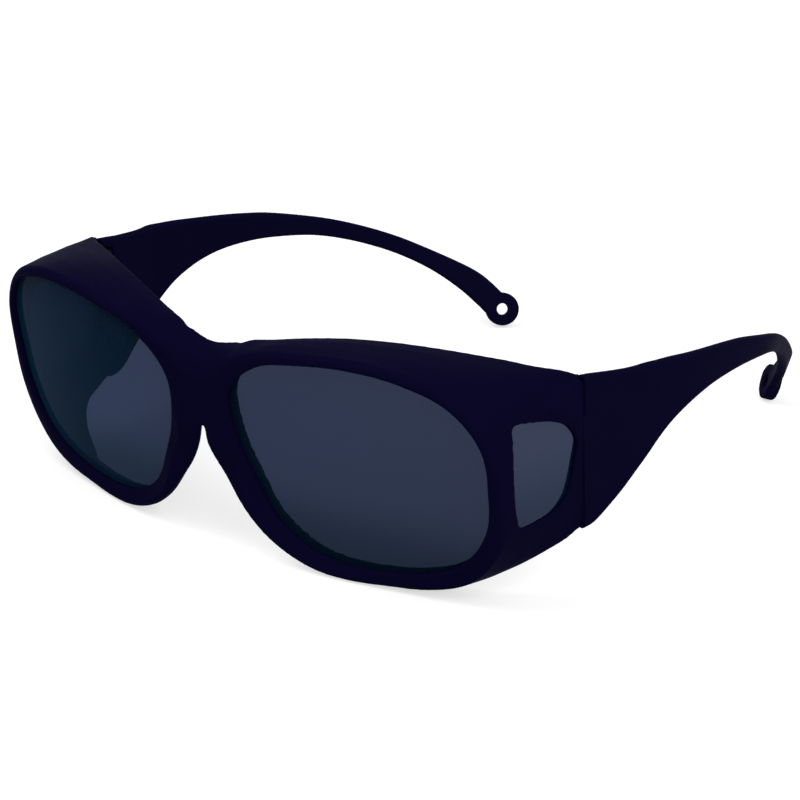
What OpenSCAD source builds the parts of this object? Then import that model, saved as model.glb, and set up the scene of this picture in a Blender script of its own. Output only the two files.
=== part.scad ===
// Over-glasses safety spectacles, in millimetres.
// They rest on the floor z = 0 on the two rim bottoms and the two temple rings.
// The front looks towards -Y, the wearer's left is +X, +Z is up.
// Shape lists are for the wearer's left side; the right side is its mirror image.

/* [Lenses] */
// Width of one lens opening
lens_width = 60; // [52:0.5:66]
// Height of one lens opening
lens_height = 48; // [40:0.5:54]
// Distance from the middle of the face to a lens centre
lens_centre_x = 39; // [36:0.5:42]
// Height of the lens centre above the floor
lens_centre_z = 28; // [26:0.5:30]
// Turn of each lens around the face, in degrees
lens_wrap = 10.8; // [8:0.1:13]
// Forward lean of the lens top, in degrees
lens_lean = 11.7; // [9:0.1:13]
// Radius of the lens curve across its width
lens_radius = 196; // [160:1:260]
// Thickness of the lenses
lens_thickness = 2.2; // [1.6:0.1:2.6]
// How far a lens reaches into its groove
lens_grip = 1.1; // [0.8:0.1:1.2]
// Clearance around a lens in its groove
lens_clearance = 0.1; // [0.05:0.05:0.2]

/* [Front frame] */
// How far the rim stands in front of the lens
rim_proud = 1.5; // [1:0.1:2]
// Thickness of the rim lip behind the lens
rim_back_lip = 1; // [0.8:0.1:1.5]
// Thickness of the brow and side walls
wall_thickness = 2.4; // [2:0.1:3]
// Outward bow of the walls half way back
wall_bow = 0.5; // [0:0.1:1]
// Distance from a lens opening sideways to the outer face of the side wall
side_reach = 1.6; // [1:0.1:2.4]

/* [Side windows] */
// Thickness of the window panes
window_thickness = 1.2; // [1:0.1:1.6]
// Overlap of a pane on its seat
window_overlap = 0.9; // [0.6:0.1:1.1]
// Clearance around a pane in its seat
window_clearance = 0.15; // [0.1:0.05:0.3]

/* [Temples] */
// Thickness of the temples
temple_thickness = 2.4; // [2:0.1:3]
// Gap of the seam between front and temple
seam_gap = 0.4; // [0.3:0.05:0.8]
// Distance of the seam behind the face, at the hinges
seam_y = 19.8; // [19.6:0.1:20]
// Outside diameter of the end ring
ring_diameter = 8.8; // [8:0.1:10]
// Diameter of the lanyard hole
lanyard_hole = 3.1; // [2.6:0.1:3.6]
// Thickness of the end ring
ring_thickness = 2.8; // [2.2:0.1:3.4]
// Inward turn of the end ring, in degrees
ring_turn = 46; // [38:1:54]
// Upward lean of the ring's inner face, in degrees
ring_lean = 16; // [0:1:22]

/* [Hinges] */
// Distance of the hinge axis inside the outer face of the side wall
hinge_inset = 3.6; // [3.4:0.1:4]
// Distance of the hinge axis behind the seam
hinge_behind = 0.4; // [0.2:0.1:0.6]
// Height of the middle of the hinge
hinge_z = 41.4; // [41.2:0.1:41.6]
// Height of the knuckle stack
hinge_height = 5.4; // [4.8:0.1:5.8]
// Outside diameter of the knuckles
knuckle_diameter = 3; // [2.6:0.1:3.1]
// Diameter of the hinge screw shank
pin_diameter = 1.4; // [1.2:0.1:1.6]
// Radial clearance of the screw shank in the knuckles
pin_clearance = 0.04; // [0.02:0.01:0.1]
// Gap between two neighbouring knuckles
knuckle_gap = 0.1; // [0.05:0.05:0.2]
// Thickness of a hinge leaf
leaf_thickness = 0.9; // [0.7:0.1:1]
// Reach of a hinge leaf from the axis, inside the plastic
leaf_length = 4.6; // [4.2:0.1:5]
// Diameter of the hinge screw head
screw_head = 2.6; // [2.2:0.1:2.8]
// Height of the hinge screw head
screw_head_height = 0.7; // [0.5:0.1:0.9]

/* [Hidden] */
$fn = 40;

// Shift that puts the middle of the whole object over the origin.
middle_y = 62;

// Sizes that the shape lists below are drawn for.
drawn_width = 60;
drawn_height = 48;
drawn_side = 70.6;

// Outer face of the side wall, and how much further out it is than drawn.
side_x = lens_centre_x + lens_width / 2 + side_reach;
side_shift = side_x - drawn_side;

// Rise of the seam line: how far it runs back for each millimetre down.
seam_slope = 0.1;
// Stretch over which the temple's sections turn from the seam's slope to upright.
seam_fade = 26;

// Hinge axis, and the inner face of the hinge leaves from it.
hinge_x = side_x - hinge_inset;
hinge_y = seam_y + hinge_behind;
leaf_x = hinge_inset - 1.3;
// Stretch of the arms that join the knuckles to a leaf, from the axis.
arm_from = 0.9;
arm_to = 1.7;
// Room around the knuckles in the plastic.
knuckle_room = 0.2;

// Polar radii of the lens opening every 20 degrees, for the drawn width and height.
// 0 points to the temple, 90 up, 180 to the nose.
lens_shape = [29.2, 29.9, 28.7, 25.8, 24, 23.8, 25.5, 29.6, 32.2, 29.7, 27.5, 27.5, 26.6, 25, 24.6, 26.3,
              29.2, 29.9];
lens_rows = [for (i = [0 : 17]) [i * 20, lens_shape[i]]];

// Rim around the opening: [angle, width of its face, extra forward set of its outer edge].
rim_rows = [[0, 3.3, 0], [27, 2.3, 0], [57, 2.4, 0], [90, 2.2, 0], [123, 2.4, 0], [140, 3.4, 0], [153, 5.4, 0],
            [167, 7.6, 0], [180, 8.4, 0], [193, 8.2, 0.6], [207, 6.7, 1.3], [221, 5, 1.6], [237, 4, 1.6],
            [254, 3.6, 1.3], [270, 3.5, 0.8], [286, 3.6, 0.5], [303, 4.3, 0.3], [318, 4.8, 0.1], [333, 4.6, 0]];

// Distance of the seam behind the face at height z.
function seam(z) = seam_y + seam_slope * (hinge_z - z);

// Outer back edge of the walls around each eye: [angle, x, y, z].
wall_rows = [[0, 70.6, seam(31), 31], [13, 70.8, seam(37), 37], [25, 70.8, seam(42.5), 42.5],
             [33, 70.4, seam(46.3), 46.3],
             [38, 69.4, 18, 47.7], [45, 66, 15.2, 48.7], [57, 57.5, 9.2, 50.2], [74, 48, 2.8, 51.7],
             [90, 40, -2.4, 52.6], [106, 32, -6.6, 52.7], [123, 24, -10, 51.9], [138, 16, -12.6, 50.4],
             [153, 8, -14.6, 48.1], [167, 4.6, -13.4, 38], [180, 7.6, -11.5, 27.5], [193, 10.4, -11, 19.4],
             [207, 13.4, -10, 13.4], [221, 17.6, -8.8, 8], [237, 23.2, -7.4, 4], [254, 31, -6.2, 1.6],
             [270, 39, -5, 0.5], [283, 46.5, -2.2, 0.4], [296, 54, 2, 1.6], [308, 61.5, 7, 5.2],
             [317, 67, 13.2, 8.2], [322, 69.2, 19.2, 10], [326, 70.1, 22.3, 11.7],
             [330, 70.3, seam(14.2), 14.2], [335, 70.4, seam(17), 17], [347, 70.4, seam(24), 24]];

// Outline of a side window in its own plane, about its middle: [back, up].
window_shape = [[-9.4, 9.3], [-8, 10.2], [-2, 9.4], [3, 8.2], [7.8, 6.1], [10.6, 3.5], [11.8, 1], [11.2, -2.2],
                [10.2, -6.3], [8.8, -9.5], [6.2, -11.4], [2.7, -12.4], [-3.2, -12.7], [-6.6, -12.2],
                [-8.6, -8.6], [-9.6, -3], [-9.9, 3]];
// Middle of the pane's outer face, and how much of the wall stands in front of it there.
window_depth = 1.6;
window_middle = [side_x - window_depth, 7, lens_centre_z + 3];
// Turn and inward lean of the window plane, in degrees
window_turn = -2.5;
window_lean = 2;

// Outline of the end block above the window, seen from the side: [y, z].
block_shape = [[seam(45.6), 45.6], [seam(38.6), 38.6], [19.5, 37.6], [18.4, 37], [16.8, 37.2], [14, 39.4],
               [9, 41.4], [7, 42.4], [12, 45], [17.5, 46.2]];
// Height of the block over the side wall, where it begins and at the seam.
block_rise = [0.2, 0.5];

// Temple, front to back: [distance, x, y from the seam gap, z of the middle, height, thickness factor, lean].
temple_rows = [[0, 69.6, seam(46.7), 29, 35.4, 1, 0], [3, 69.9, 22.6, 29, 34.6, 1, 0],
               [6, 70.3, 25.9, 29.4, 32.8, 1, 0], [9, 70.9, 29.2, 30.2, 30.4, 1, 0],
               [12.5, 71.5, 32.9, 31.2, 27.6, 1, 0], [15.5, 72, 36, 32.3, 25, 1, 0],
               [19, 72.6, 39.6, 33.8, 22, 1, 0], [23, 72.8, 43.6, 35.1, 18.6, 1.05, 0],
               [28, 72.9, 48.6, 36.3, 15.2, 1.1, 0], [34, 72.9, 54.6, 37, 12.2, 1.15, 0],
               [39.5, 72.7, 60.1, 37.3, 10.2, 1.2, 0], [45, 72.3, 65.6, 37.3, 8.8, 1.2, 0],
               [52, 71.6, 72.6, 36.9, 7.6, 1.2, 0], [60, 70.5, 80.6, 36, 6.6, 1.15, 1],
               [72, 68.2, 92.6, 33.7, 5.2, 1.1, 4], [81, 65.8, 100.6, 31.6, 4.8, 1, 8],
               [92, 62.2, 109.6, 28.4, 4.7, 0.95, 11], [103, 58.3, 118.6, 24.3, 4.9, 0.95, 13],
               [114, 54.2, 127.1, 19.3, 5.6, 1, 15], [124, 50.2, 134.2, 14.1, 7.4, 1.05, 16],
               [131, 46.9, 138.2, 10.2, 9, 1.05, 16], [136, 44.2, 140.6, 7, 9.4, 1.05, 16],
               [139.6, 42, 142.4, 4.7, 8.4, 1.05, 16]];
temple_end = 139.6;
ring_middle = [42 + side_shift, 142.5 + seam_gap,
               ring_diameter / 2 * cos(ring_lean) + ring_thickness / 2 * sin(ring_lean)];

// Sections of the bridge, from the middle outwards: [x, then y and z of the underside back, underside front,
// face bottom, face top, brow, crown, back edge, back bottom]. Past x = 6 only its top runs on, into the brow.
bridge_rows = [
    [0, -17, 28.8, -19, 28.5, -20.2, 29.6, -21.6, 40, -20.9, 43.2, -18.5, 45.9, -15.6, 46.9, -16.2, 31],
    [2, -16.8, 28.8, -18.8, 28.4, -20, 29.4, -21.6, 40.4, -21, 43.7, -18.6, 46.1, -15.5, 47, -16, 30.6],
    [4, -16.6, 29, -18.3, 28.6, -19.4, 29.4, -21.5, 41, -21.2, 44.5, -18.8, 46.6, -15.3, 47.3, -15.8, 30],
    [6, -16.4, 30.4, -17.6, 30, -18.8, 30.4, -21.4, 41.6, -21.6, 45.4, -19.2, 47.2, -15, 47.7, -15.6, 30],
    [7.6, -16.6, 45.6, -19.6, 45, -21, 45, -21.6, 45.4, -21.6, 46, -19.6, 47.5, -15, 47.9, -15.4, 46.2],
    [9.4, -17, 47, -19.8, 46.4, -21.2, 46.4, -21.6, 46.6, -21.6, 46.8, -19.8, 47.5, -16, 48, -15.6, 47.4]];

// Small vectors
function unit(v) = v / norm(v);
function mix(a, b, t) = a + (b - a) * t;

// Smooth curve through rows whose first column is the position.
function row_before(rows, t, i = 0) = i >= len(rows) - 2 || t < rows[i + 1][0] ? i : row_before(rows, t, i + 1);
function row_slope(rows, i) =
    let (a = max(i - 1, 0), b = min(i + 1, len(rows) - 1))
    (rows[b] - rows[a]) / (rows[b][0] - rows[a][0]);
function smooth(rows, t) =
    let (i = row_before(rows, t), h = rows[i + 1][0] - rows[i][0], s = (t - rows[i][0]) / h)
    (2 * s ^ 3 - 3 * s ^ 2 + 1) * rows[i] + (s ^ 3 - 2 * s ^ 2 + s) * h * row_slope(rows, i)
    + (3 * s ^ 2 - 2 * s ^ 3) * rows[i + 1] + (s ^ 3 - s ^ 2) * h * row_slope(rows, i + 1);
function around(rows) = [for (turn = [-360, 0, 360], r = rows)
                         concat([r[0] + turn], [for (i = [1 : len(r) - 1]) r[i]])];
lens_loop = around(lens_rows);
rim_loop = around(rim_rows);
wall_loop = around(wall_rows);

// Lens surface: u across, v up, m behind the front face of the lens.
lens_across = [cos(lens_wrap), sin(lens_wrap), 0];
lens_level = [-sin(lens_wrap), cos(lens_wrap), 0];
lens_up = [0, 0, cos(lens_lean)] - sin(lens_lean) * lens_level;
lens_back = cos(lens_lean) * lens_level + [0, 0, sin(lens_lean)];
lens_middle = [lens_centre_x, -14.5, lens_centre_z];
function lens_point(u, v, m) =
    lens_middle + u * lens_across + v * lens_up + u * u / (2 * lens_radius) * lens_back
    + m * unit(lens_back - u / lens_radius * lens_across);
function opening(a) =
    let (r = smooth(lens_loop, a)[1])
    [r * cos(a) * lens_width / drawn_width, r * sin(a) * lens_height / drawn_height];
function outward(a) = let (t = unit(opening(a + 1) - opening(a - 1))) [t[1], -t[0]];
function rim_point(a, r, m) = let (p = opening(a) + r * outward(a)) lens_point(p[0], p[1], m);

// Closed surface through a list of point loops, as a tube, a ring or a capped bar.
function quads(rows, n, from, to) =
    [for (j = [0 : n - 1]) for (f = [[from * n + j, from * n + (j + 1) % n, to * n + (j + 1) % n],
                                     [from * n + j, to * n + (j + 1) % n, to * n + j]]) f];
module ring_of(loops) {
    n = len(loops[0]);
    polyhedron([for (l = loops, p = l) p],
               [for (i = [0 : len(loops) - 1]) each quads(loops, n, (i + 1) % len(loops), i)]);
}
module bar_of(loops) {
    n = len(loops[0]);
    last = len(loops) - 1;
    polyhedron([for (l = loops, p = l) p],
               concat([[for (j = [n - 1 : -1 : 0]) j]],
                      [for (i = [0 : last - 1]) each quads(loops, n, i, i + 1)],
                      [[for (j = [0 : n - 1]) last * n + j]]));
}
module on_left_and_right() {
    children();
    mirror([1, 0, 0]) children();
}
module placed() translate([0, -middle_y, 0]) children();

// Front frame
shell_angles = concat([for (a = [0 : 5 : 30]) a], [33, 36, 39, 42], [for (a = [45 : 5 : 320]) a],
                      [323, 326, 329, 332], [for (a = [335 : 5 : 355]) a]);
groove_back = lens_thickness + lens_clearance;
shell_back = groove_back + rim_back_lip;
function shell_section(a) =
    let (rim = smooth(rim_loop, a),
         b = rim[1],
         row = smooth(wall_loop, a),
         k = [row[1] * side_x / drawn_side, row[2], row[3]],
         slope = max(0, b - 4.5) * 0.25 - rim[2],
         corner = rim_point(a, b, 1.3 + slope - rim_proud),
         along = unit(k - corner),
         away = unit(rim_point(a, b, 0) - rim_point(a, 0, 0)),
         inward = -unit(away - (away * along) * along),
         back = unit(rim_point(a, 0, 1) - rim_point(a, 0, 0)),
         depth = (k - corner) * back,
         reach = shell_back - 1.3 - slope + rim_proud,
         tilt = -(inward * back),
         thickness = min(wall_thickness, max(1.2, (0.6 * depth - reach) / max(0.05, tilt))),
         start = min(0.7, (reach + thickness * tilt) / depth))
    [rim_point(a, 0, 0.3 - rim_proud),
     rim_point(a, 0.3, -rim_proud),
     rim_point(a, min(b - 1.3, 3.4), min(0, slope) - rim_proud),
     rim_point(a, b - 0.5, 0.3 + slope - rim_proud),
     corner,
     mix(corner, k, 0.3) - 0.84 * wall_bow * inward,
     mix(corner, k, 0.65) - 0.9 * wall_bow * inward,
     k - 0.5 * along,
     k + 0.5 * inward,
     k + (thickness - 0.5) * inward,
     k + thickness * inward - 0.5 * along,
     mix(mix(corner, k, start), k, 0.5) + (thickness - 0.9 * wall_bow) * inward,
     mix(corner, k, start) + thickness * inward,
     rim_point(a, 0.5, shell_back),
     rim_point(a, 0.5, groove_back),
     rim_point(a, lens_grip + lens_clearance, groove_back),
     rim_point(a, lens_grip + lens_clearance, -lens_clearance),
     rim_point(a, 0, -lens_clearance)];

module eye_shell() ring_of([for (a = shell_angles) shell_section(a)]);

// Slab in the side plane between two x values, and the same in the window plane.
module side_slab(from, to) translate([from, 0, 0]) rotate([90, 0, 90]) linear_extrude(to - from) children();
module window_slab(from, to)
    translate(window_middle) rotate([0, -window_lean, window_turn]) side_slab(from, to) children();
module window_outline(grow = 0) offset(delta = grow) polygon(window_shape);

function bridge_section(row, side) = [for (j = [0 : 7]) [side * row[0], row[1 + 2 * j], row[2 + 2 * j]]];
module bridge()
    bar_of(concat([for (i = [5 : -1 : 1]) bridge_section(bridge_rows[i], -1)],
                  [for (row = bridge_rows) bridge_section(row, 1)]));
module end_block() hull() {
    side_slab(side_x - 1, side_x + block_rise[0]) polygon(block_shape);
    intersection() {
        side_slab(side_x - 1, side_x + block_rise[1]) offset(-0.5) polygon(block_shape);
        translate([side_x - 2, 15, 0]) cube([4, 10, 50]);
    }
}
module window_cut() {
    window_slab(-8, 8) window_outline();
    window_slab(-8, 0) window_outline(window_overlap + window_clearance);
}
// Pocket in the plastic for one hinge half, with room for all the knuckles.
// The way is -1 in the front and 1 in a temple.
module hinge_pocket(way, levels) {
    hinge_leaf(way);
    for (level = levels) hinge_arm(way, level);
    room = knuckle_diameter / 2 + knuckle_room;
    translate([hinge_x - room, hinge_y - 2 * room, hinge_low - pin_clearance])
        cube([2 * room, 4 * room, hinge_height + 2 * pin_clearance]);
}
module front_frame() color("#15152b") placed() difference() {
    union() {
        on_left_and_right() {
            eye_shell();
            end_block();
        }
        bridge();
    }
    on_left_and_right() {
        window_cut();
        hinge_pocket(-1, [0, 2]);
    }
}

// Lenses and panes
module lens() {
    steps = [0, 0.35, 0.7, 1];
    angles = [for (a = [0 : 6 : 354]) a];
    front = [for (s = [1, 2, 3], a = angles) let (p = steps[s] * (opening(a) + lens_grip * outward(a)))
             lens_point(p[0], p[1], 0)];
    back = [for (s = [1, 2, 3], a = angles) let (p = steps[s] * (opening(a) + lens_grip * outward(a)))
            lens_point(p[0], p[1], lens_thickness)];
    n = len(angles);
    polyhedron(concat(front, back, [lens_point(0, 0, 0), lens_point(0, 0, lens_thickness)]),
        [for (j = [0 : n - 1]) let (k = (j + 1) % n) each concat(
            [[6 * n, j, k], [6 * n + 1, 3 * n + k, 3 * n + j]],
            [for (s = [0, 1]) each [[s * n + j, (s + 1) * n + j, (s + 1) * n + k],
                                    [s * n + j, (s + 1) * n + k, s * n + k],
                                    [(s + 3) * n + j, (s + 4) * n + k, (s + 4) * n + j],
                                    [(s + 3) * n + j, (s + 3) * n + k, (s + 4) * n + k]]],
            [[2 * n + j, 5 * n + j, 5 * n + k], [2 * n + j, 5 * n + k, 2 * n + k]])]);
}
module lens_left() color("#3c4a66", 0.7) placed() lens();
module lens_right() color("#3c4a66", 0.7) placed() mirror([1, 0, 0]) lens();
module window_pane() window_slab(-window_thickness, 0) window_outline(window_overlap);
module side_window_left() color("#4a5470", 0.7) placed() window_pane();
module side_window_right() color("#4a5470", 0.7) placed() mirror([1, 0, 0]) window_pane();

// Temples
function temple_section(t) =
    let (row = smooth(temple_rows, t),
         ahead = smooth(temple_rows, min(t + 1, temple_end)),
         behind = smooth(temple_rows, max(t - 1, 0)),
         path = unit([ahead[1] - behind[1], ahead[2] - behind[2], 0]),
         side = [path[1], -path[0], 0],
         lean = row[6],
         out = side * cos(lean) - [0, 0, sin(lean)],
         up = [0, 0, cos(lean)] + side * sin(lean),
         h = row[4] / 2,
         w = temple_thickness * row[5] / 2,
         front = max(0, 1 - t / seam_fade) ^ 2,
         half = [[1, 0], [0.99, 0.5], [0.95, 1], [0.6, 1.12], [0, 1.16], [-0.6, 1.12], [-0.95, 1],
                 [-0.99, 0.5]])
    [for (turn = [1, -1], p = half)
     let (q = p * turn,
          v = abs(q[1]) <= 1 ? q[1] * (h - w) : sign(q[1]) * (h - w + w * (abs(q[1]) - 1) / 0.16))
     [row[1] + side_shift, row[2], row[3]] + out * w * q[0] + up * v
     + [0, seam_gap + seam_slope * front * (h - v), 0]];

module temple_loft() bar_of([for (i = [0 : 40]) temple_section(i * temple_end / 40)]);
module ring(diameter, length)
    translate(ring_middle) rotate([0, 0, ring_turn]) rotate([0, ring_lean, 0]) rotate([0, 90, 0])
        cylinder(d = diameter, h = length, center = true);
module temple() difference() {
    union() {
        temple_loft();
        ring(ring_diameter, ring_thickness);
    }
    ring(lanyard_hole, ring_thickness + 4);
    hinge_pocket(1, [1]);
}
module temple_left() color("#15152b") placed() temple();
module temple_right() color("#15152b") placed() mirror([1, 0, 0]) temple();

// Hinges
hinge_low = hinge_z - hinge_height / 2;
knuckle_height = (hinge_height - 2 * knuckle_gap) / 3;
knuckle_step = knuckle_height + knuckle_gap;
module hinge_leaf(way)
    translate([hinge_x + leaf_x, hinge_y + (way < 0 ? -leaf_length : arm_from), hinge_low])
        cube([leaf_thickness, leaf_length - arm_from, hinge_height]);
module at_level(level) translate([hinge_x, hinge_y, hinge_low + level * knuckle_step]) children();
module hinge_arm(way, level) at_level(level) translate([0, way < 0 ? -arm_to : arm_from, 0])
    cube([leaf_x + leaf_thickness, arm_to - arm_from, knuckle_height]);
module hinge_half(way, levels) difference() {
    union() {
        hinge_leaf(way);
        for (level = levels) {
            hinge_arm(way, level);
            at_level(level) cylinder(d = knuckle_diameter, h = knuckle_height);
        }
    }
    translate([hinge_x, hinge_y, hinge_low - 1])
        cylinder(r = pin_diameter / 2 + pin_clearance, h = hinge_height + 2);
}
module frame_hinge() hinge_half(-1, [0, 2]);
module temple_hinge() hinge_half(1, [1]);
module frame_hinge_left() color("#b8bcc4") placed() frame_hinge();
module frame_hinge_right() color("#b8bcc4") placed() mirror([1, 0, 0]) frame_hinge();
module temple_hinge_left() color("#b8bcc4") placed() temple_hinge();
module temple_hinge_right() color("#b8bcc4") placed() mirror([1, 0, 0]) temple_hinge();

module hinge_screw() translate([hinge_x, hinge_y, hinge_low]) {
    cylinder(d = pin_diameter, h = hinge_height);
    difference() {
        translate([0, 0, hinge_height]) cylinder(d = screw_head, h = screw_head_height);
        translate([-2, -0.2, hinge_height + screw_head_height / 2]) cube([4, 0.4, 1]);
    }
}
module hinge_screw_left() color("#9a9ea8") placed() hinge_screw();
module hinge_screw_right() color("#9a9ea8") placed() mirror([1, 0, 0]) hinge_screw();

front_frame();
lens_left();
lens_right();
side_window_left();
side_window_right();
temple_left();
temple_right();
frame_hinge_left();
frame_hinge_right();
temple_hinge_left();
temple_hinge_right();
hinge_screw_left();
hinge_screw_right();
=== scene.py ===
import math
import bmesh
import bpy
import numpy as np
from mathutils import Matrix, Vector


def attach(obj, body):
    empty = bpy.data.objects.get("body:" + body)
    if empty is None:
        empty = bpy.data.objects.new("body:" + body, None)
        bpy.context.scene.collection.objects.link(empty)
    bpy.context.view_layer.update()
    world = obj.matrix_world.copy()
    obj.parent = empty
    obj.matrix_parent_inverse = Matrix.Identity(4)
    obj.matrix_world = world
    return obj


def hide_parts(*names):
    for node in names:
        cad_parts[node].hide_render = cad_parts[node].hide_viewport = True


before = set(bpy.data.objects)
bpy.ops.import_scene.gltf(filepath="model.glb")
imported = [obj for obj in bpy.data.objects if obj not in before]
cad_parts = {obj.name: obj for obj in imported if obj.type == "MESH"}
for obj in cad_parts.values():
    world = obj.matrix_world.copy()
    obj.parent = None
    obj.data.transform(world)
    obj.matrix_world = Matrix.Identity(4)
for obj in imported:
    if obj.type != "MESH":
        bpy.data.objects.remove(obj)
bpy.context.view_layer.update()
print("stage: frame loaded")

# Sizes and places of the pieces are millimetres, as in the part's source.
# newObject turns them into the frame's metres, whose middle lies at middleY.
middleY = 62


# Smooth curve through rows whose first column is the position. A closed one goes round in 360 degrees.
def curveThrough(rows, at, closed=False):
    rows = np.array(rows, float)
    at = np.atleast_1d(np.array(at, float))
    if closed:
        wholeTurn = np.array([360] + [0] * (rows.shape[1] - 1))
        rows = np.concatenate([rows - wholeTurn, rows, rows + wholeTurn])
    place = rows[:, 0]
    low = np.clip(np.searchsorted(place, at, side="right") - 1, 0, len(rows) - 2)

    def slope(i):
        before, after = np.maximum(i - 1, 0), np.minimum(i + 1, len(rows) - 1)
        return (rows[after] - rows[before]) / (place[after] - place[before])[:, None]

    gap = (place[low + 1] - place[low])[:, None]
    s = (at[:, None] - place[low][:, None]) / gap
    return ((2 * s**3 - 3 * s**2 + 1) * rows[low] + (s**3 - 2 * s**2 + s) * gap * slope(low)
            + (3 * s**2 - 2 * s**3) * rows[low + 1] + (s**3 - s**2) * gap * slope(low + 1))


# Smooth step from 0 at low to 1 at high.
def ramp(values, low, high):
    t = np.clip((values - low) / (high - low), 0, 1)
    return t * t * (3 - 2 * t)


def unit(v):
    return v / np.linalg.norm(v, axis=-1, keepdims=True)


def dot(a, b):
    return np.sum(a * b, axis=-1, keepdims=True)


# Meshes
def newObject(name, points, faces):
    mesh = bpy.data.meshes.new(name)
    mesh.from_pydata([tuple(p) for p in (np.array(points, float) - [0, middleY, 0]) / 1000], [], faces)
    mesh.validate()
    piece = bpy.data.objects.new(name, mesh)
    bpy.context.collection.objects.link(piece)
    work = bmesh.new()
    work.from_mesh(mesh)
    bmesh.ops.recalc_face_normals(work, faces=work.faces)
    work.to_mesh(mesh)
    work.free()
    return piece


# Points of a piece, back in millimetres.
def places(piece):
    flat = np.zeros(3 * len(piece.data.vertices))
    piece.data.vertices.foreach_get("co", flat)
    return flat.reshape(-1, 3) * 1000 + [0, middleY, 0]


# Faces between two loops of the same number of points.
def band(count, start, end):
    first, second = start * count, end * count
    return [(first + j, first + (j + 1) % count, second + (j + 1) % count, second + j) for j in range(count)]


# Skin over loops, from the last one back to the first.
def ringLoft(name, loops):
    count = len(loops[0])
    faces = [face for i in range(len(loops)) for face in band(count, i, (i + 1) % len(loops))]
    return newObject(name, np.reshape(loops, (-1, 3)), faces)


# Skin over loops, with a face on each end.
def barLoft(name, loops):
    count, last = len(loops[0]), len(loops) - 1
    faces = [face for i in range(last) for face in band(count, i, i + 1)]
    faces += [tuple(range(count)), tuple(last * count + j for j in range(count))]
    return newObject(name, np.reshape(loops, (-1, 3)), faces)


def modify(piece, kind, **settings):
    step = piece.modifiers.new(kind.lower(), kind)
    for name, setting in settings.items():
        setattr(step, name, setting)


# Makes what the modifiers show the piece's own mesh.
def applied(piece):
    bpy.context.view_layer.update()
    graph = bpy.context.evaluated_depsgraph_get()
    mesh = bpy.data.meshes.new_from_object(piece.evaluated_get(graph))
    old = piece.data
    piece.modifiers.clear()
    piece.data = mesh
    bpy.data.meshes.remove(old)
    return piece


def combined(piece, others, operation):
    for other in others:
        modify(piece, "BOOLEAN", operation=operation, solver="EXACT", object=other)
        applied(piece)
        bpy.data.objects.remove(other)
    return piece


# Cuts off what lies beyond a plane and closes the cut with a flat face.
def trimmed(piece, point, normal):
    work = bmesh.new()
    work.from_mesh(piece.data)
    point = (Vector(point) - Vector((0, middleY, 0))) / 1000
    parts = work.verts[:] + work.edges[:] + work.faces[:]
    cut = bmesh.ops.bisect_plane(work, geom=parts, plane_co=point, plane_no=normal, clear_outer=True)
    edges = [part for part in cut["geom_cut"] if isinstance(part, bmesh.types.BMEdge)]
    bmesh.ops.triangle_fill(work, edges=edges, use_beauty=True)
    bmesh.ops.recalc_face_normals(work, faces=work.faces)
    work.to_mesh(piece.data)
    work.free()
    return piece


def mirrored(piece, name):
    twin = piece.copy()
    twin.data = piece.data.copy()
    twin.name = name
    bpy.context.collection.objects.link(twin)
    twin.data.transform(Matrix.Scale(-1, 4, (1, 0, 0)))
    twin.data.flip_normals()
    return twin


def joined(pieces):
    with bpy.context.temp_override(active_object=pieces[0], selected_editable_objects=pieces):
        bpy.ops.object.join()
    return pieces[0]


# Evens out points by their weight, and leaves alone those with next to none.
def softened(piece, weights, rounds):
    group = piece.vertex_groups.new(name="soft")
    for index in np.nonzero(weights > 0.02)[0]:
        group.add([int(index)], float(weights[index]), "REPLACE")
    modify(piece, "SMOOTH", factor=0.5, iterations=rounds, vertex_group=group.name)
    applied(piece)
    piece.vertex_groups.clear()


# Fuses a piece into one moulding with soft edges. The extra areas are softened further.
def moulded(piece, look, extra=()):
    voxel = look["voxel"]
    modify(piece, "REMESH", mode="VOXEL", voxel_size=voxel / 1000)
    modify(piece, "SMOOTH", factor=0.5, iterations=look["rounds"])
    applied(piece)
    for weigh, rounds in extra:
        softened(piece, weigh(places(piece)), rounds)
    triangles = 2 * len(piece.data.polygons)
    if triangles > look["triangles"]:
        modify(piece, "DECIMATE", ratio=look["triangles"] / triangles)
        applied(piece)


# Smooth shading, with the edges of the cuts kept sharp.
def finished(piece):
    piece.data.shade_smooth()
    piece.data.set_sharp_from_angle(angle=math.radians(35))
    return piece


# Seam between front and temples: y at the height of the hinges, that height, and how far it runs back
# for each millimetre down.
seamLine = {"y": 19.8, "z": 41.4, "slope": 0.1}


def seam(z):
    return seamLine["y"] + seamLine["slope"] * (seamLine["z"] - z)


# Node trees
class Socket:
    def __init__(self, tree, output):
        self.tree, self.output = tree, output

    def math(self, operation, *others):
        inputs = dict(enumerate((self, *others)))
        return addNode(self.tree, "ShaderNodeMath", {"operation": operation}, inputs)

    def __add__(self, other):
        return self.math("ADD", other)

    def __mul__(self, other):
        return self.math("MULTIPLY", other)

    __radd__, __rmul__ = __add__, __mul__


# Gives a node's inputs their values or links.
def fillIn(node, inputs):
    for name, value in inputs.items():
        if isinstance(value, Socket):
            value.tree.links.new(value.output, node.inputs[name])
        else:
            node.inputs[name].default_value = value


def addNode(tree, kind, settings, inputs, output=0):
    node = tree.nodes.new(kind)
    for name, setting in settings.items():
        setattr(node, name, setting)
    fillIn(node, inputs)
    return Socket(tree, node.outputs[output])


def newMaterial(name):
    material = bpy.data.materials.new(name)
    material.use_nodes = True
    return material, material.node_tree, material.node_tree.nodes["Principled BSDF"]


# Screen colour from 0 to 255 as the renderer's own.
def linear(*colour):
    return [((c / 255 + 0.055) / 1.055) ** 2.4 if c > 10 else c / 255 / 12.92 for c in colour] + [1]


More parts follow.
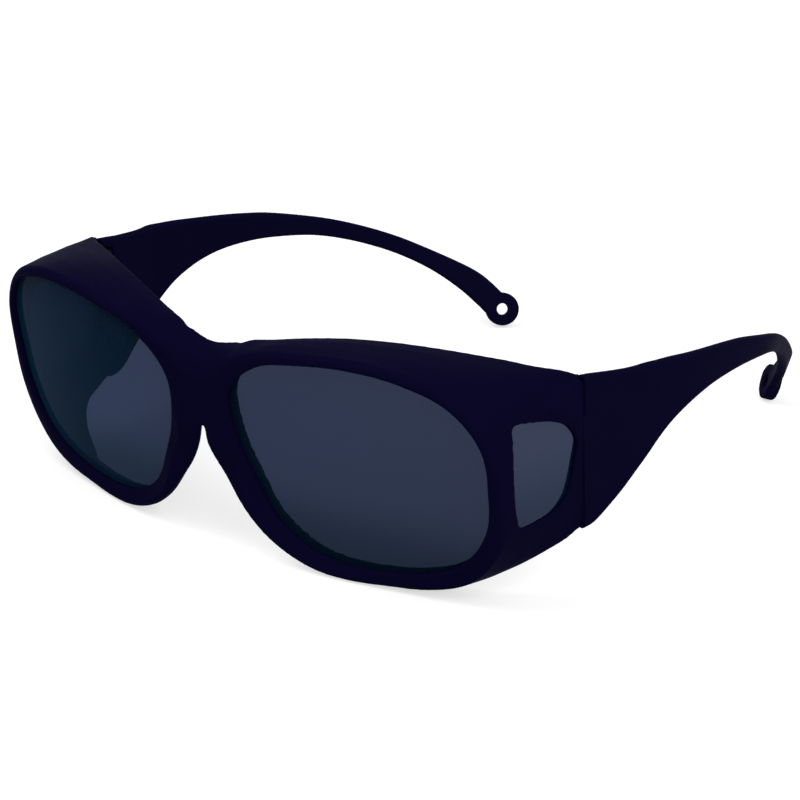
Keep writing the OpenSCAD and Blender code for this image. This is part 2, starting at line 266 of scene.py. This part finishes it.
def noise(tree, scale, detail=2, stretch=(1, 1, 1)):
    place = addNode(tree, "ShaderNodeTexCoord", {}, {}, "Object")
    stretched = addNode(tree, "ShaderNodeMapping", {}, {"Vector": place, "Scale": stretch})
    return addNode(tree, "ShaderNodeTexNoise", {}, {"Vector": stretched, "Scale": scale, "Detail": detail})


def coordinate(tree, axis):
    place = addNode(tree, "ShaderNodeTexCoord", {}, {}, "Object")
    return addNode(tree, "ShaderNodeSeparateXYZ", {}, {0: place}, axis)


# Smooth step from 0 at low to 1 at high.
def fade(value, low, high):
    return addNode(value.tree, "ShaderNodeMapRange", {"interpolation_type": "SMOOTHSTEP"},
                   {"Value": value, "From Min": low, "From Max": high})


# The two colours are inputs 6 and 7 of a Mix node, and the mixed one is its output 2.
def blend(tree, factor, first, second):
    return addNode(tree, "ShaderNodeMix", {"data_type": "RGBA"}, {"Factor": factor, 6: first, 7: second}, 2)


def bumped(tree, height, strength, distance):
    return addNode(tree, "ShaderNodeBump", {}, {"Height": height, "Strength": strength, "Distance": distance})


# Finishes. Their places and heights are metres, as Object coordinates are.
plasticLook = {
    # Painted shade: a near-black colour for the seam behind the end block, and where along the seam it lies.
    "seamShadeColour": [0.0007, 0.0005, 0.0075, 1],
    "seamShadeEdge": (0.0003, 0.0011),   # distance from the seam: full painted shade, and none
    "seamShadeEnd": (0.0385, 0.0375),   # height: full painted shade above, and none below
    "grain": 5200,
    "grainDepth": 0.00004,
}


# Moulded plastic, a little mottled, with painted shade along the upper part of the seam, where the end block
# shades the joint.
def plastic(name, dark, pale):
    material, tree, shader = newMaterial(name)
    # Painted shade: near the seam and above the end block's lower edge, the base colour turns near-black in
    # place of the shadow at the joint.
    behind = coordinate(tree, "Y") + coordinate(tree, "Z") * seamLine["slope"] + (middleY - seam(0)) / 1000
    away = fade(behind.math("ABSOLUTE"), *plasticLook["seamShadeEdge"])
    below = fade(coordinate(tree, "Z"), *plasticLook["seamShadeEnd"])
    mottled = blend(tree, noise(tree, 60, 3), dark, pale)
    fillIn(shader, {
        "Base Color": blend(tree, away.math("MAXIMUM", below), plasticLook["seamShadeColour"], mottled),
        "Roughness": noise(tree, 900, 3) * 0.16 + 0.36,
        "Specular IOR Level": 0.001,
        "Normal": bumped(tree, noise(tree, plasticLook["grain"]), 0.25, plasticLook["grainDepth"]),
    })
    return material


# Clear tinted plastic, with one colour below the first height and the other above the second.
def tinted(name, lower, upper, heights):
    material, tree, shader = newMaterial(name)
    fillIn(shader, {
        "Base Color": blend(tree, fade(coordinate(tree, "Z"), *heights), lower, upper),
        "Roughness": noise(tree, 400) * 0.02 + 0.02,
        "Transmission Weight": 1,
        "IOR": 1.03,
        "Sheen Weight": 0.1,
        "Sheen Roughness": 0.6,
        "Sheen Tint": (0.08, 0.42, 1, 1),
    })
    return material


def steel(name, colour):
    material, tree, shader = newMaterial(name)
    brushed = noise(tree, 900, 3, (1, 1, 12))
    darker = [c * 0.8 for c in colour[:3]] + [1]
    fillIn(shader, {
        "Base Color": blend(tree, brushed, colour, darker),
        "Roughness": brushed * 0.2 + 0.25,
        "Metallic": 1,
        "Specular Tint": (0.1, 0.1, 0.2, 1),
        "Normal": bumped(tree, brushed, 0.2, 0.00003),
    })
    return material


frameFinish = plastic("framePlastic", [0.0027, 0.002, 0.0165, 1], [0.0036, 0.0027, 0.0188, 1])
templeFinish = plastic("templePlastic", [0.003, 0.0022, 0.0165, 1], [0.0042, 0.0032, 0.0188, 1])
lensFinish = tinted("lensTint", [0.016, 0.0215, 0.037, 1], [0.0269, 0.033, 0.062, 1], (0.006, 0.022))
windowFinish = tinted("windowTint", [0.0262, 0.0325, 0.058, 1], [0.0373, 0.0433, 0.0735, 1], (0.019, 0.034))
hingeFinish = steel("hingeSteel", linear(20, 19, 36))
screwFinish = steel("screwSteel", linear(26, 25, 42))

# The opening is given by its radii every 20 degrees: 0 towards the temple, 90 up, 180 towards the nose.
lens = {
    "shape": [29.2, 29.9, 28.7, 25.8, 24, 23.8, 25.5, 29.6, 32.2,
              29.7, 27.5, 27.5, 26.6, 25, 24.6, 26.3, 29.2, 29.9],
    "middle": np.array([39, -14.5, 28]),
    "wrap": 10.8,
    "lean": 11.7,
    "radius": 196,
    "thickness": 2.2,
    "grip": 1.1,   # how far the lens reaches into the rim
    "clearance": 0.1,
    "roundedEdge": [(0.998, 0.05), (1, 0.15)],   # share of the way to the edge, depth
}
wrapAngle, leanAngle = math.radians(lens["wrap"]), math.radians(lens["lean"])
lensAcross = np.array([math.cos(wrapAngle), math.sin(wrapAngle), 0])
lensLevel = np.array([-math.sin(wrapAngle), math.cos(wrapAngle), 0])
lensUp = np.array([0, 0, math.cos(leanAngle)]) - math.sin(leanAngle) * lensLevel
lensBack = math.cos(leanAngle) * lensLevel + np.array([0, 0, math.sin(leanAngle)])


# Place of a flat point on the curved lens, and a depth behind its front.
def lensPoint(flat, behind):
    u, v = flat[..., :1], flat[..., 1:2]
    return (lens["middle"] + u * lensAcross + v * lensUp + u * u / (2 * lens["radius"]) * lensBack
            + behind * unit(lensBack - u / lens["radius"] * lensAcross))


def opening(angles):
    rows = [[20 * i, radius] for i, radius in enumerate(lens["shape"])]
    radius = curveThrough(rows, np.mod(angles, 360), closed=True)[:, 1]
    turn = np.radians(angles)
    return np.stack([radius * np.cos(turn), radius * np.sin(turn)], axis=-1)


def outward(angles):
    along = unit(opening(angles + 1) - opening(angles - 1))
    return np.stack([along[:, 1], -along[:, 0]], axis=-1)


# Point at a distance outside the opening and a depth behind the lens's front.
def rimPoint(angles, out, behind):
    return lensPoint(opening(angles) + out * outward(angles), behind)


# Distance outside the opening, seen square to the lens.
def outsideLens(points):
    offset = np.abs(points) * [1, 0, 0] + points * [0, 1, 1] - lens["middle"]
    u, v = offset @ lensAcross, offset @ lensUp
    return np.hypot(u, v) - np.linalg.norm(opening(np.degrees(np.arctan2(v, u))), axis=1)


# Rings from the middle of the face to its rounded edge, and back again behind it.
def makeLens():
    angles = np.arange(0, 360, 2.0)
    edge = opening(angles) + lens["grip"] * outward(angles)
    face = [(share, 0) for share in np.linspace(0.02, 0.985, 22)] + lens["roundedEdge"]
    back = [(share, lens["thickness"] - depth) for share, depth in reversed(face)]
    piece = barLoft("lensLeft", [lensPoint(share * edge, depth) for share, depth in face + back])
    piece.data.shade_smooth()
    return piece


# Front frame. Angles go round the lens opening, as in the lens's shape.
front = {
    "proud": 1.5,   # rim in front of the lens
    "lip": 1,   # rim behind the lens
    "lipOut": 0.8,   # how far the lip's edge lies outside the opening
    "rimEdge": 0.3,   # rounding of the rim's inner edge
    "shoulder": 1.3,   # rounding of the rim's outer corner
    "flat": 3.4,   # widest flat face of the rim
    "fallFrom": 4.5,   # a rim wider than this falls back by a share of the rest
    "fall": 0.25,
    "wall": 2.4,
    "leastWall": 1.2,   # where the wall is too shallow for its full thickness
    "wallEdge": 0.5,   # rounding of the side wall's free edge
    "bow": 0.5,   # how far the side wall bulges
    "spare": 1.2,   # what is cut off again at the seam
    "seamReach": (0.1, 1.2),   # distance from the seam with all of the spare, and with none
    # angle, width of the rim, how far its outer corner stands forward
    "rimRows": [
        [0, 3.3, 0], [27, 2.3, 0], [57, 2.4, 0], [90, 2.2, 0], [123, 2.4, 0], [140, 3.4, 0], [153, 5.4, 0],
        [167, 7.6, 1], [180, 8.4, 2.2], [193, 7.4, 1.7], [207, 6, 2.2], [221, 4.7, 2], [237, 4, 1.6],
        [254, 3.6, 1.3], [270, 3.5, 0.8], [286, 3.6, 0.5], [303, 4.3, 0.3], [318, 4.8, 0.1], [333, 4.6, 0]],
    # angle, x, y and z of the side wall's free edge
    "wallRows": [
        [0, 70.6, seam(31), 31], [13, 70.8, seam(37), 37], [25, 70.8, seam(42.5), 42.5],
        [33, 70.4, seam(46.3), 46.3], [38, 69.4, 18, 47.7], [45, 66, 15.2, 48.7], [57, 57.5, 9.2, 50.2],
        [74, 48, 2.8, 51.7], [90, 40, -2.4, 52.6], [106, 32, -6.6, 52.7], [123, 24, -10, 51.9],
        [138, 16, -12.6, 50.4], [153, 8, -14.6, 48.4], [167, 3.6, -15.4, 38], [180, 5.6, -14.2, 27.5],
        [193, 8.4, -13.6, 19.4], [207, 12.2, -12.2, 13.4], [221, 17, -10.4, 8], [237, 23, -8.2, 4],
        [254, 31, -6.4, 1.6], [270, 39, -5, 0.5], [283, 46.5, -2.2, 0.4], [296, 54, 2, 1.6],
        [308, 61.5, 7, 5.2], [317, 67, 13.2, 8.2], [322, 69.2, 19.2, 10], [326, 70.1, 22.3, 11.7],
        [330, 70.3, seam(14.2), 14.2], [335, 70.4, seam(17), 17], [347, 70.4, seam(24), 24]],
    # x, then y and z of the section's eight corners
    "bridgeRows": [
        [0, -17, 28.8, -19, 28.5, -20.2, 29.6, -21.6, 40, -20.9, 43.6, -18.5, 46.4, -15.6, 47.5, -16.2, 31],
        [2, -16.8, 28.8, -18.8, 28.4, -20, 29.4, -21.6, 40.4, -21, 44.1, -18.6, 46.6, -15.5, 47.6, -16, 30.6],
        [4, -16.6, 29, -18.3, 28.6, -19.4, 29.4, -21.5, 41, -21.2, 44.8, -18.8, 47.1, -15.3, 47.9, -15.8, 30],
        [6, -16.4, 30.4, -17.6, 30, -18.8, 30.4, -21.4, 41.6, -21.6, 45.7, -19.2, 47.6, -15, 48.3, -15.6, 30],
        [7.6, -16.6, 45.6, -19.6, 45, -21, 45, -21.6, 45.4, -21.6, 46.2, -19.6, 47.9, -15, 48.5, -15.4, 46.2],
        [9.4, -17, 47, -19.8, 46.4, -21.2, 46.4, -21.6, 46.6, -21.6, 47, -19.8, 48, -16, 48.6, -15.6, 47.4]],
    # y and z of the raised end block, and its two sides in x
    "block": [[seam(45.6), 45.6], [seam(38.6), 38.6], [19.5, 37.6], [18.4, 37], [16.8, 37.2], [14, 39.4],
              [9, 41.4], [7, 42.4], [12, 45], [17.5, 46.2]],
    "blockSides": (69.6, 71.2),
    "voxel": 0.36,
    "quickVoxel": 0.8,
    "rounds": 3,
    "triangles": 190000,
}
window = {
    # y and z round the middle
    "shape": [[-9.4, 9.3], [-8, 10.2], [-2, 9.4], [3, 8.2], [7.8, 6.1], [10.6, 3.5], [11.8, 1],
              [11.2, -2.2], [10.2, -6.3], [8.8, -9.5], [6.2, -11.4], [2.7, -12.4], [-3.2, -12.7],
              [-6.6, -12.2], [-8.6, -8.6], [-9.6, -3], [-9.9, 3]],
    "middle": [69, 7, 31],
    "turn": -2.5,
    "lean": 2,
    "thickness": 1.2,
    "proud": 0.2,   # how far the pane stands out into its ledge
    "overlap": 0.9,
    "clearance": 0.15,
    "cut": 8,   # how far the cutters reach to both sides
}
hinge = {"x": 67, "y": 20.2, "low": 38.7, "height": 5.4, "knuckle": 3, "room": 0.3, "below": 0.2, "above": 1}

# Areas of the front that are smoothed further. The weight rises over each pair, and falls over one named End.
# Out is a distance outside the lens opening or round the side window.
softAreas = {
    "bridge": {"xEnd": (12, 24), "z": (25, 30), "out": (1.4, 3), "rounds": 60},
    "block": {"x": (58, 64), "y": (-4, 4), "yEnd": (12, 16), "z": (33, 36), "out": (0.6, 2), "rounds": 60},
    "corner": {"x": (58, 62), "y": (6, 10), "zEnd": (13, 17), "rounds": 25},
}


# One closed section of rim and side wall for each angle.
def shellSections(angles):
    rim, edge = (curveThrough(front[rows], angles, closed=True) for rows in ("rimRows", "wallRows"))
    width, forward, edge = rim[:, 1:2], rim[:, 2:3], edge[:, 1:]
    atSeam = 1 - ramp(np.abs(edge[:, 1] - seam(edge[:, 2])), *front["seamReach"])
    edge = edge + atSeam[:, None] * [0, front["spare"], 0]
    slope = np.maximum(0, width - front["fallFrom"]) * front["fall"] - forward
    proud, bow, shoulder = front["proud"], front["bow"], front["shoulder"]
    rimEdge, wallEdge, lipOut = front["rimEdge"], front["wallEdge"], front["lipOut"]
    grooveOut, grooveBack = lens["grip"] + lens["clearance"], lens["thickness"] + lens["clearance"]
    corner = rimPoint(angles, width, shoulder + slope - proud)
    along = unit(edge - corner)
    away = unit(rimPoint(angles, width, 0) - rimPoint(angles, 0, 0))
    inward = -unit(away - dot(away, along) * along)
    behind = unit(rimPoint(angles, 0, 1) - rimPoint(angles, 0, 0))

    # A shallow wall is thinner, so that its inner side begins behind the lip.
    depth = dot(edge - corner, behind)
    reach = grooveBack + front["lip"] - shoulder - slope + proud
    tilt = -dot(inward, behind)
    fitting = (0.6 * depth - reach) / np.maximum(0.05, tilt)
    thickness = np.minimum(front["wall"], np.maximum(front["leastWall"], fitting))
    start = np.minimum(0.7, (reach + thickness * tilt) / depth)

    def onWall(share):
        return corner + (edge - corner) * share

    innerStart = onWall(start)
    innerMiddle = innerStart + (edge - innerStart) * 0.5
    points = [
        rimPoint(angles, 0, rimEdge - proud), rimPoint(angles, rimEdge, -proud),
        rimPoint(angles, np.minimum(width - shoulder, front["flat"]), np.minimum(0, slope) - proud),
        rimPoint(angles, width - wallEdge, rimEdge + slope - proud), corner,
        onWall(0.3) - 0.84 * bow * inward, onWall(0.65) - 0.9 * bow * inward,
        edge - wallEdge * along, edge + wallEdge * inward, edge + (thickness - wallEdge) * inward,
        edge + thickness * inward - wallEdge * along,
        innerMiddle + (thickness - 0.9 * bow) * inward, innerStart + thickness * inward,
        rimPoint(angles, lipOut, grooveBack + front["lip"]), rimPoint(angles, lipOut, grooveBack),
        rimPoint(angles, grooveOut, grooveBack), rimPoint(angles, grooveOut, -lens["clearance"]),
        rimPoint(angles, 0, -lens["clearance"])]
    return np.stack(points, axis=1)


# Right half mirrored, then the left half, from one end of the bridge to the other.
def bridgeSections():
    across = np.linspace(0, front["bridgeRows"][-1][0], 24)
    rows = curveThrough(front["bridgeRows"], across)
    half = [[[x, *row[1 + 2 * j:3 + 2 * j]] for j in range(8)] for x, row in zip(across, rows)]
    other = [[[-x, y, z] for x, y, z in section] for section in half[:0:-1]]
    return other + half


def windowPlace(points):
    turn = Matrix.Rotation(math.radians(window["turn"]), 3, "Z") @ Matrix.Rotation(
        math.radians(-window["lean"]), 3, "Y")
    return [list(turn @ Vector(p) + Vector(window["middle"])) for p in points]


def windowOutline(grow, count=160):
    shape = np.array(window["shape"], float)
    steps = np.sqrt(np.linalg.norm(np.roll(shape, -1, axis=0) - shape, axis=1))
    place = np.concatenate([[0], np.cumsum(steps)[:-1]]) * 360 / np.sum(steps)
    rows = np.concatenate([place[:, None], shape], axis=1)
    at = np.arange(count) * 360 / count
    outline, ahead, before = (
        curveThrough(rows, np.mod(at + shift, 360), closed=True)[:, 1:] for shift in (0, 1, -1))
    along = unit(ahead - before)
    return outline + grow * np.stack([-along[:, 1], along[:, 0]], axis=-1)


# Slab in the place of the side window, from layers of a depth and what the outline grows by.
def windowSlab(name, layers):
    return barLoft(name, [windowPlace([[depth, y, z] for y, z in windowOutline(grow)])
                          for depth, grow in layers])


def windowCutters():
    cut, seat = window["cut"], window["overlap"] + window["clearance"]
    return [windowSlab("cut", [(-cut, 0), (cut, 0)]), windowSlab("seat", [(-cut, seat), (0, seat)])]


def makeWindow():
    overlap = window["overlap"]
    return windowSlab("sideWindowLeft", [(-window["thickness"], overlap), (window["proud"], overlap)])


def knuckleRoom():
    x, y, low = hinge["x"], hinge["y"], hinge["low"]
    room = hinge["knuckle"] / 2 + hinge["room"]
    bottom, top = low - hinge["below"], low + hinge["height"] + hinge["above"]
    corners = [(y - 2 * room, bottom), (y + 2 * room, bottom), (y + 2 * room, top), (y - 2 * room, top)]
    return barLoft("knuckleRoom", [[[side, *corner] for corner in corners] for side in (x - room, x + room)])


def nearBridge(points):
    area, x, z = softAreas["bridge"], np.abs(points[:, 0]), points[:, 2]
    return (1 - ramp(x, *area["xEnd"])) * ramp(z, *area["z"]) * ramp(outsideLens(points), *area["out"])


def nearBlock(points):
    area, x, y, z = softAreas["block"], np.abs(points[:, 0]), points[:, 1], points[:, 2]
    outline = np.array(windowPlace([[0, y, z] for y, z in windowOutline(0)]))[:, 1:]
    away = np.min(np.hypot(y[:, None] - outline[:, 0], z[:, None] - outline[:, 1]), axis=1)
    return (ramp(x, *area["x"]) * ramp(z, *area["z"]) * (1 - ramp(y, *area["yEnd"]))
            * ramp(away, *area["out"]) * ramp(y, *area["y"]))


def nearCorner(points):
    area, x, y, z = softAreas["corner"], np.abs(points[:, 0]), points[:, 1], points[:, 2]
    return ramp(x, *area["x"]) * (1 - ramp(z, *area["zEnd"])) * ramp(y, *area["y"])


def makeFront():
    shell = ringLoft("shell", shellSections(np.arange(0, 360, 1.5)))
    block = barLoft("block", [[[x, y, z] for y, z in front["block"]] for x in front["blockSides"]])
    combined(shell, [block], "UNION")
    combined(shell, windowCutters() + [knuckleRoom()], "DIFFERENCE")
    print("stage: one side of the front")
    other = mirrored(shell, "otherSide")
    piece = joined([shell, other, barLoft("bridge", bridgeSections())])
    piece.name = "frontFrame"
    areas = ((nearBridge, "bridge"), (nearBlock, "block"), (nearCorner, "corner"))
    moulded(piece, front, [(weigh, softAreas[area]["rounds"]) for weigh, area in areas])
    return finished(trimmed(piece, (0, seam(0), 0), (0, 1, seamLine["slope"])))


# Temples
temple = {
    # distance from the seam, x, y and z of the middle, height, share of the thickness, lean
    "rows": [
        [0, 69.6, seam(46.7), 29, 35.4, 1, 0], [3, 69.9, 22.6, 29, 34.6, 1, 0],
        [6, 70.3, 25.9, 29.4, 32.8, 1, 0], [9, 70.9, 29.2, 30.2, 30.4, 1, 0],
        [12.5, 71.5, 32.9, 31.2, 27.6, 1, 0], [15.5, 72, 36, 32.3, 25, 1, 0],
        [19, 72.6, 39.6, 33.8, 22, 1, 0], [23, 72.8, 43.6, 35.1, 18.6, 1.05, 0],
        [28, 72.9, 48.6, 36.3, 15.2, 1.1, 0], [34, 72.9, 54.6, 37, 12.2, 1.15, 0],
        [39.5, 72.7, 60.1, 37.3, 10.2, 1.2, 0], [45, 72.3, 65.6, 37.3, 8.8, 1.2, 0],
        [52, 71.6, 72.6, 36.9, 7.6, 1.2, 0], [60, 70.5, 80.6, 36, 6.6, 1.15, 1],
        [72, 68.2, 92.6, 33.7, 5.2, 1.1, 4], [81, 65.8, 100.6, 31.6, 4.8, 1, 8],
        [92, 62.2, 109.6, 28.4, 4.7, 0.95, 11], [103, 58.3, 118.6, 24.3, 4.9, 0.95, 13],
        [114, 54.2, 127.1, 19.3, 5.6, 1, 15], [124, 50.2, 134.2, 14.1, 7.4, 1.05, 16],
        [131, 46.9, 138.2, 10.2, 9, 1.05, 16], [136, 44.2, 140.6, 7, 9.4, 1.05, 16],
        [139.6, 42, 142.4, 4.7, 8.4, 1.05, 16]],
    "thickness": 2.4,
    "seam": 0.4,   # gap of the solids, by which all sections stand back
    "seamFade": 26,   # stretch over which the sections turn from the seam's slope to upright
    "gap": 0.06,   # gap that is seen, once the spare is cut off
    "spare": 1.2,
    "ring": 8.8,
    "hole": 3.1,
    "ringThickness": 2.8,
    "ringMiddle": (42, 142.5),   # x, and y without the solids' gap
    "ringTurn": 46,
    "ringLean": 16,
    "voxel": 0.3,
    "quickVoxel": 0.6,
    "rounds": 3,
    "triangles": 150000,
}


def templeSections(count=240):
    end = temple["rows"][-1][0]
    at = np.linspace(0, end, count)
    rows = curveThrough(temple["rows"], at)
    ahead = curveThrough(temple["rows"], np.minimum(at + 1, end))
    before = curveThrough(temple["rows"], np.maximum(at - 1, 0))
    path = (ahead - before)[:, 1:3]
    path = unit(np.concatenate([path, np.zeros((count, 1))], axis=1))
    side = np.stack([path[:, 1], -path[:, 0], path[:, 2]], axis=-1)
    lean = np.radians(rows[:, 6:7])
    high = np.array([0, 0, 1])
    out = side * np.cos(lean) - high * np.sin(lean)
    up = high * np.cos(lean) + side * np.sin(lean)
    halfHeight, halfWidth = rows[:, 4:5] / 2, temple["thickness"] * rows[:, 5:6] / 2

    # Outer side going up and the rounded top, then both again half a turn on.
    outerSide = [(1, v, 0) for v in np.linspace(-1, 1, 13, endpoint=False)]
    top = [(math.cos(t), 1, math.sin(t)) for t in np.radians(np.arange(0, 180, 12))]
    profile = outerSide + top + [(-across, -straight, -cap) for across, straight, cap in outerSide + top]
    nearSeam = np.maximum(0, 1 - at / temple["seamFade"])[:, None] ** 2
    shorter = temple["seam"] - (at == 0)[:, None] * temple["spare"]
    sections = []
    for across, straight, cap in profile:
        v = straight * (halfHeight - halfWidth) + cap * halfWidth
        shift = shorter + seamLine["slope"] * nearSeam * (halfHeight - v)
        sections.append(rows[:, 1:4] + out * halfWidth * across + up * v + np.array([0, 1, 0]) * shift)
    return np.stack(sections, axis=1)


# Disc in the place of the lanyard ring, or the hole through it.
def ringDisc(name, diameter, length):
    lean = math.radians(temple["ringLean"])
    turn = Matrix.Rotation(math.radians(temple["ringTurn"]), 3, "Z") @ Matrix.Rotation(lean, 3, "Y")
    x, y = temple["ringMiddle"]
    lowest = temple["ring"] / 2 * math.cos(lean) + temple["ringThickness"] / 2 * math.sin(lean)
    middle = Vector((x, y + temple["seam"], lowest))
    circle = [(diameter / 2 * math.cos(a), diameter / 2 * math.sin(a))
              for a in np.linspace(0, 2 * math.pi, 96, endpoint=False)]
    return barLoft(name, [[list(turn @ Vector((x, y, z)) + middle) for y, z in circle]
                          for x in (-length / 2, length / 2)])


def makeTemple():
    piece = barLoft("templeLeft", templeSections())
    thickness = temple["ringThickness"]
    combined(piece, [ringDisc("ring", temple["ring"], thickness)], "UNION")
    combined(piece, [ringDisc("hole", temple["hole"], thickness + 4), knuckleRoom()], "DIFFERENCE")
    moulded(piece, temple)
    return finished(trimmed(piece, (0, seam(0) + temple["gap"], 0), (0, -1, -seamLine["slope"])))


# The pieces take the places of the CAD nodes and ride their bodies.
def dress(piece, finish, node, body):
    piece.data.materials.clear()
    piece.data.materials.append(finish)
    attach(piece, body)
    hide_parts(node)


# A left piece and its mirrored twin. Their slot's name is the nodes' name without the side.
def dressPair(left, finish, slotName, bodies):
    right = mirrored(left, left.name.replace("Left", "Right"))
    dress(left, finish, slotName + "_left", bodies[0])
    dress(right, finish, slotName + "_right", bodies[1])


frontPiece = makeFront()
dress(frontPiece, frameFinish, "front_frame", "front")
print("stage: front frame", len(frontPiece.data.polygons))

templePiece = makeTemple()
dressPair(templePiece, templeFinish, "temple", ("left_temple", "right_temple"))
print("stage: temples", len(templePiece.data.polygons))

dressPair(makeLens(), lensFinish, "lens", ("front", "front"))
dressPair(makeWindow(), windowFinish, "side_window", ("front", "front"))
print("stage: lenses and side windows")

metal = {"frame_hinge": hingeFinish, "temple_hinge": hingeFinish, "hinge_screw": screwFinish}
for node, finish in metal.items():
    for side in ("_left", "_right"):
        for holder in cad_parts[node + side].material_slots:
            holder.material = finish
print("stage: hinges")


# White for the camera, also by way of gloss or glass, and a dimmer light for the object.
def seenWhite(tree):
    rays = ("Is Camera Ray", "Is Glossy Ray", "Is Transmission Ray")
    straight, glossy, through = (addNode(tree, "ShaderNodeLightPath", {}, {}, ray) for ray in rays)
    return (straight + glossy + through).math("MINIMUM", 1)


# Floor, background, lights and camera, in metres
stage = {
    "floorReach": 4,
    "floorColour": (0.55, 0.55, 0.55, 1),
    "floorGlow": 0.62,
    "dimLight": 0.6,
    "lightTarget": (0, 0, 0.02),
    "lights": {
        "key": {"place": (-0.5, -0.5, 1.1), "size": 0.8, "energy": 5},
        "fill": {"place": (0.9, -0.5, 0.7), "size": 0.9, "energy": 6.5},
    },
    # as solved from the photo
    "cameraPlace": (0.3814, -0.491046, 0.245028),
    "cameraForward": (-0.58483, 0.73104, -0.35149),
    "cameraRight": (0.7760, 0.6304, 0.0198),
    "focalLength": 126.6,
}


def makeFloor():
    material, tree, shader = newMaterial("floor")
    fillIn(shader, {
        "Base Color": stage["floorColour"],
        "Roughness": 1,
        "Specular IOR Level": 0,
        "Emission Color": (1, 1, 1, 1),
        "Emission Strength": seenWhite(tree) * stage["floorGlow"],
    })
    reach = stage["floorReach"]
    mesh = bpy.data.meshes.new("floor")
    corners = [(-reach, -reach, 0), (reach, -reach, 0), (reach, reach, 0), (-reach, reach, 0)]
    mesh.from_pydata(corners, [], [(0, 1, 2, 3)])
    mesh.materials.append(material)
    floor = bpy.data.objects.new("floor", mesh)
    bpy.context.collection.objects.link(floor)


def makeBackground():
    world = bpy.data.worlds.new("world")
    bpy.context.scene.world = world
    world.use_nodes = True
    dim = stage["dimLight"]
    fillIn(world.node_tree.nodes["Background"], {
        "Color": (1, 1, 1, 1),
        "Strength": seenWhite(world.node_tree) * (1 - dim) + dim,
    })


def makeLight(name, place, size, energy):
    light = bpy.data.lights.new(name, "AREA")
    light.size = size
    light.energy = energy
    lamp = bpy.data.objects.new(name, light)
    lamp.location = place
    lamp.rotation_euler = (Vector(stage["lightTarget"]) - Vector(place)).to_track_quat("-Z", "Y").to_euler()
    bpy.context.collection.objects.link(lamp)


def makeCamera():
    camera = bpy.data.cameras.new("camera")
    camera.lens = stage["focalLength"]
    camera.sensor_width = 36
    camera.clip_start = 0.01
    forward = Vector(stage["cameraForward"]).normalized()
    right = Vector(stage["cameraRight"]).normalized()
    axes = Matrix((right, right.cross(forward), -forward)).transposed()
    viewer = bpy.data.objects.new("camera", camera)
    viewer.matrix_world = Matrix.Translation(stage["cameraPlace"]) @ axes.to_4x4()
    bpy.context.collection.objects.link(viewer)
    bpy.context.scene.camera = viewer


makeFloor()
makeBackground()
for name, light in stage["lights"].items():
    makeLight(name, **light)
makeCamera()
bpy.context.scene.view_settings.view_transform = "Standard"
print("stage: floor, background, lights and camera")
